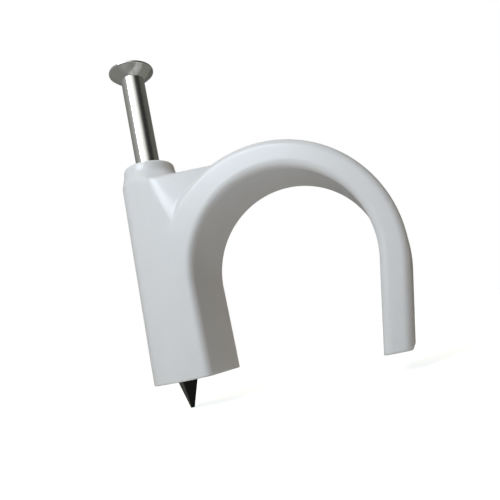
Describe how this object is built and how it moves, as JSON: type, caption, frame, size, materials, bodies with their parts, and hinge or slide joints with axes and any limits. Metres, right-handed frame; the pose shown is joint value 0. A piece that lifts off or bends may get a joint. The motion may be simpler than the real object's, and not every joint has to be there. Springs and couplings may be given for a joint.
{
  "type": "nail-in cable clip",
  "caption": "Moulded plastic hook that goes over a round cable and is fixed to a wall by the steel nail it carries in its leg.",
  "frame": {"origin": "on the flat foot of the nail leg, at the wall plane, half way between the nail bore and the cable's side of the leg, in the middle of the clip's depth", "axes": "+X from the nail towards the free foot, +Y along the cable, +Z away from the wall towards the nail's head"},
  "size_m": [0.0318, 0.0098, 0.0433],
  "materials": {
    "clip_plastic": "pale cool white polypropylene as moulded, soft gloss",
    "nail_steel": "bright zinc plated, darker at the bare point"
  },
  "bodies": {
    "clip": {"clip_body": "clip_plastic"},
    "drive_nail": {"nail": "nail_steel"}
  },
  "joints": [
    {"name": "nail_drive", "type": "slide", "parent": "clip", "child": "drive_nail", "axis": [0, 0, -1], "range_m": [0, 0.0123]}
  ]
}
